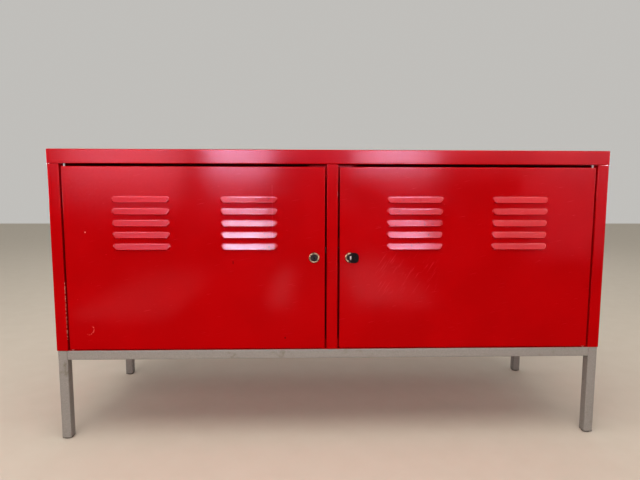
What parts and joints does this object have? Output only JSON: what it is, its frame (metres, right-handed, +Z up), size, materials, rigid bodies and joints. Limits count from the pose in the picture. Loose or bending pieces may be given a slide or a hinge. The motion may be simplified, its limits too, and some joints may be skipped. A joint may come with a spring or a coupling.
{
  "type": "metal storage cabinet",
  "caption": "Low sheet-steel storage cabinet with louvred, lockable hinged doors, a centre divider and shelves, standing on a square-tube base frame.",
  "frame": {"origin": "on the floor, under the middle of the whole object's box, which includes the folded key in front of the right door", "axes": "+X across the doors, to the right seen from the front; +Y from the doors to the back; +Z up"},
  "size_m": [1.19, 0.407, 0.63],
  "materials": {
    "red_powder_coat": "glossy red powder coat on 0.8 mm sheet steel, a little worn and scratched",
    "grey_powder_coat": "satin silver-grey powder coat on steel tube",
    "chrome": "polished chrome on die-cast zinc",
    "zinc_plated_steel": "bright zinc plating on steel",
    "black_plastic": "black moulded plastic, fine texture",
    "grey_plastic": "grey moulded plastic, fine texture",
    "white_nylon": "white nylon, smooth"
  },
  "bodies": {
    "carcass": {"top_panel": "red_powder_coat", "left_side_panel": "red_powder_coat", "right_side_panel": "red_powder_coat", "bottom_panel": "red_powder_coat", "divider": "red_powder_coat", "left_back_panel": "red_powder_coat", "right_back_panel": "red_powder_coat", "door_stop_bracket": "red_powder_coat", "front_rail": "grey_powder_coat", "back_rail": "grey_powder_coat", "left_rail": "grey_powder_coat", "right_rail": "grey_powder_coat", "front_left_leg": "grey_powder_coat", "back_left_leg": "grey_powder_coat", "front_right_leg": "grey_powder_coat", "back_right_leg": "grey_powder_coat", "front_left_leg_plug": "grey_plastic", "back_left_leg_plug": "grey_plastic", "front_right_leg_plug": "grey_plastic", "back_right_leg_plug": "grey_plastic", "left_upper_hinge_peg": "white_nylon", "left_lower_hinge_peg": "white_nylon", "right_upper_hinge_peg": "white_nylon", "right_lower_hinge_peg": "white_nylon", "left_shelf": "red_powder_coat", "right_shelf": "red_powder_coat", "left_front_inner_shelf_clip": "zinc_plated_steel", "left_front_outer_shelf_clip": "zinc_plated_steel", "left_back_inner_shelf_clip": "zinc_plated_steel", "left_back_outer_shelf_clip": "zinc_plated_steel", "right_front_inner_shelf_clip": "zinc_plated_steel", "right_front_outer_shelf_clip": "zinc_plated_steel", "right_back_inner_shelf_clip": "zinc_plated_steel", "right_back_outer_shelf_clip": "zinc_plated_steel"},
    "left_door": {"left_door": "red_powder_coat", "left_upper_hinge_bush": "white_nylon", "left_lower_hinge_bush": "white_nylon", "left_lock_housing": "chrome", "left_lock_nut": "zinc_plated_steel"},
    "left_lock": {"left_lock_plug": "chrome", "left_lock_cam": "zinc_plated_steel", "left_cam_screw": "zinc_plated_steel"},
    "right_door": {"right_door": "red_powder_coat", "right_upper_hinge_bush": "white_nylon", "right_lower_hinge_bush": "white_nylon", "right_lock_housing": "chrome", "right_lock_nut": "zinc_plated_steel"},
    "right_lock": {"right_lock_plug": "chrome", "right_lock_cam": "zinc_plated_steel", "right_cam_screw": "zinc_plated_steel", "key_blade": "zinc_plated_steel", "key_pivot_pin": "zinc_plated_steel"},
    "key_head": {"key_head": "black_plastic"},
    "front_left_foot": {"front_left_foot": "grey_plastic"},
    "back_left_foot": {"back_left_foot": "grey_plastic"},
    "front_right_foot": {"front_right_foot": "grey_plastic"},
    "back_right_foot": {"back_right_foot": "grey_plastic"}
  },
  "joints": [
    {"name": "left_door_hinge", "type": "hinge", "parent": "carcass", "child": "left_door", "pos_m": [-0.5612, -0.19045, 0.39785], "axis": [0, 0, -1], "range_deg": [0, 105]},
    {"name": "right_door_hinge", "type": "hinge", "parent": "carcass", "child": "right_door", "pos_m": [0.5612, -0.19045, 0.39785], "axis": [0, 0, 1], "range_deg": [0, 105]},
    {"name": "left_lock_turn", "type": "hinge", "parent": "left_door", "child": "left_lock", "pos_m": [-0.039, -0.19645, 0.40085], "axis": [0, -1, 0], "range_deg": [0, 90]},
    {"name": "right_lock_turn", "type": "hinge", "parent": "right_door", "child": "right_lock", "pos_m": [0.039, -0.19645, 0.40085], "axis": [0, 1, 0], "range_deg": [0, 90]},
    {"name": "key_fold", "type": "hinge", "parent": "right_lock", "child": "key_head", "pos_m": [0.039, -0.20155, 0.40085], "axis": [0, 0, -1], "range_deg": [0, 90]},
    {"name": "front_left_foot_screw", "type": "slide", "parent": "carcass", "child": "front_left_foot", "axis": [0, 0, -1], "range_m": [0, 0.01]},
    {"name": "back_left_foot_screw", "type": "slide", "parent": "carcass", "child": "back_left_foot", "axis": [0, 0, -1], "range_m": [0, 0.01]},
    {"name": "front_right_foot_screw", "type": "slide", "parent": "carcass", "child": "front_right_foot", "axis": [0, 0, -1], "range_m": [0, 0.01]},
    {"name": "back_right_foot_screw", "type": "slide", "parent": "carcass", "child": "back_right_foot", "axis": [0, 0, -1], "range_m": [0, 0.01]}
  ]
}
